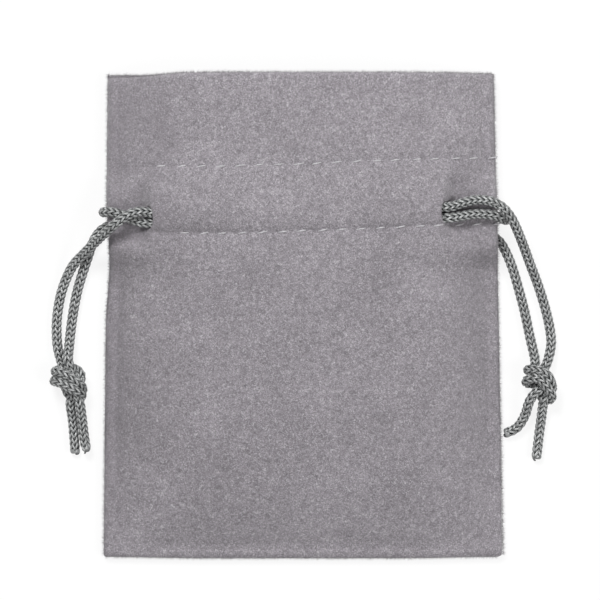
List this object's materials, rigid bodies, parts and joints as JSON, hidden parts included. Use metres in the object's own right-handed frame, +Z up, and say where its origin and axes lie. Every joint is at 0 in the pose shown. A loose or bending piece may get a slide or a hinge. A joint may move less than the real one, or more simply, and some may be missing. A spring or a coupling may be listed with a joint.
{
  "type": "drawstring gift pouch",
  "caption": "Soft velvet gift pouch lying flat, with a stitched channel under its folded top and a knotted braided drawcord at each side that gathers the mouth shut.",
  "frame": {"origin": "middle of the pouch's underside as it lies on its back; the drawcords lie beside it", "axes": "+Z up out of the front panel, +Y towards the mouth, +X to the right seen from the front"},
  "size_m": [0.1044, 0.1, 0.0147],
  "materials": {
    "velvet": "short pile, matt grey with a faint lilac cast",
    "sewing_thread": "light grey spun thread",
    "braided_cord": "shiny round braid, dark greenish grey"
  },
  "bodies": {
    "pouch": {"front_panel": "velvet", "back_panel": "velvet", "front_upper_stitches": "sewing_thread", "front_lower_stitches": "sewing_thread", "back_upper_stitches": "sewing_thread", "back_lower_stitches": "sewing_thread", "left_side_seam_thread": "sewing_thread", "right_side_seam_thread": "sewing_thread", "foot_seam_thread": "sewing_thread"},
    "left_drawcord": {"left_drawcord_loop": "braided_cord", "left_drawcord_front_leg": "braided_cord", "left_drawcord_back_leg": "braided_cord", "left_drawcord_knot": "braided_cord", "left_drawcord_front_tail": "braided_cord", "left_drawcord_back_tail": "braided_cord"},
    "right_drawcord": {"right_drawcord_loop": "braided_cord", "right_drawcord_front_leg": "braided_cord", "right_drawcord_back_leg": "braided_cord", "right_drawcord_knot": "braided_cord", "right_drawcord_front_tail": "braided_cord", "right_drawcord_back_tail": "braided_cord"}
  },
  "joints": [
    {"name": "left_drawcord_pull", "type": "slide", "parent": "pouch", "child": "left_drawcord", "axis": [-1, 0, 0], "range_m": [0, 0.022], "deforming": ["front_panel", "back_panel", "front_upper_stitches", "front_lower_stitches", "back_upper_stitches", "back_lower_stitches", "left_side_seam_thread", "right_side_seam_thread", "left_drawcord_loop", "right_drawcord_loop"]},
    {"name": "right_drawcord_pull", "type": "slide", "parent": "pouch", "child": "right_drawcord", "axis": [1, 0, 0], "range_m": [0, 0.022], "deforming": ["front_panel", "back_panel", "front_upper_stitches", "front_lower_stitches", "back_upper_stitches", "back_lower_stitches", "left_side_seam_thread", "right_side_seam_thread", "left_drawcord_loop", "right_drawcord_loop"]}
  ]
}
